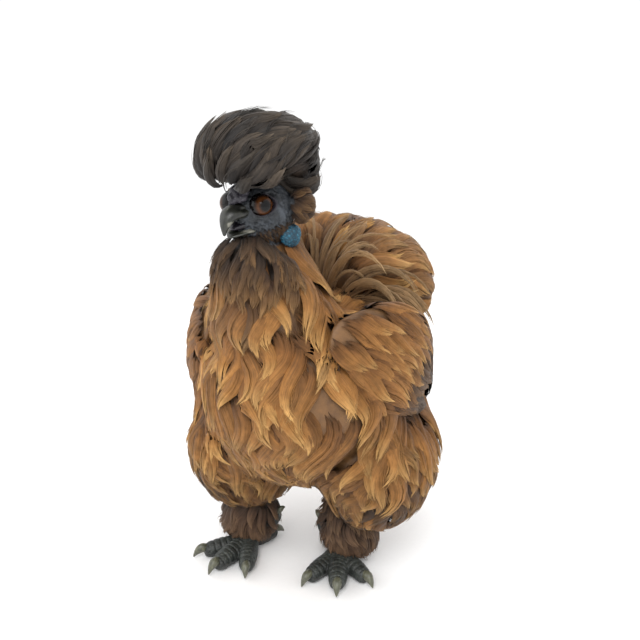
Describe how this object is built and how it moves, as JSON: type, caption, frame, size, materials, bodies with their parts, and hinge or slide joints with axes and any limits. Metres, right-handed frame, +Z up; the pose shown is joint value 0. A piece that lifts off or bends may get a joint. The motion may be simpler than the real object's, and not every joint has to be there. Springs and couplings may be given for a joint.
{
  "type": "silkie chicken",
  "caption": "Silkie chicken standing still on both feet, with a full crest, beard, muffs, turquoise earlobes and long buff plumage.",
  "frame": {"origin": "on the floor, at the middle of the bird's bounding box seen from above", "axes": "+Z up, -Y the way the body faces, +X the bird's own left side"},
  "size_m": [0.2166, 0.2352, 0.3492],
  "materials": {
    "beak": "dark olive-grey horn",
    "claw": "olive-grey horn",
    "comb": "dark blue-grey warty skin",
    "crest": "dark grey-brown silky locks",
    "dark_down": "dark brown down",
    "earlobe": "turquoise skin",
    "eye": "dark amber eye, wet gloss",
    "plumage": "long silky buff feathers",
    "scale": "dark grey-green scales",
    "shank": "brown down on the shanks",
    "skin": "blue-grey wrinkled skin",
    "tail": "grey-brown plumes over buff down",
    "wing": "buff feathers, dark brown at the tips"
  },
  "bodies": {
    "root": {"eye_left": "eye", "eye_right": "eye", "head": "skin", "comb": "comb", "beak_upper": "beak", "beak_lower": "beak", "earlobe_left": "earlobe", "muff_left": "dark_down", "earlobe_right": "earlobe", "muff_right": "dark_down", "crest": "crest", "beard": "dark_down", "neck": "plumage", "torso": "plumage", "foot_left": "scale", "claw_left_1": "claw", "claw_left_2": "claw", "claw_left_3": "claw", "claw_left_4": "claw", "claw_left_5": "claw", "wing_left": "wing", "thigh_left": "plumage", "shank_left": "shank", "foot_right": "scale", "claw_right_1": "claw", "claw_right_2": "claw", "claw_right_3": "claw", "claw_right_4": "claw", "claw_right_5": "claw", "wing_right": "wing", "thigh_right": "plumage", "shank_right": "shank", "tail": "tail"}
  },
  "joints": []
}
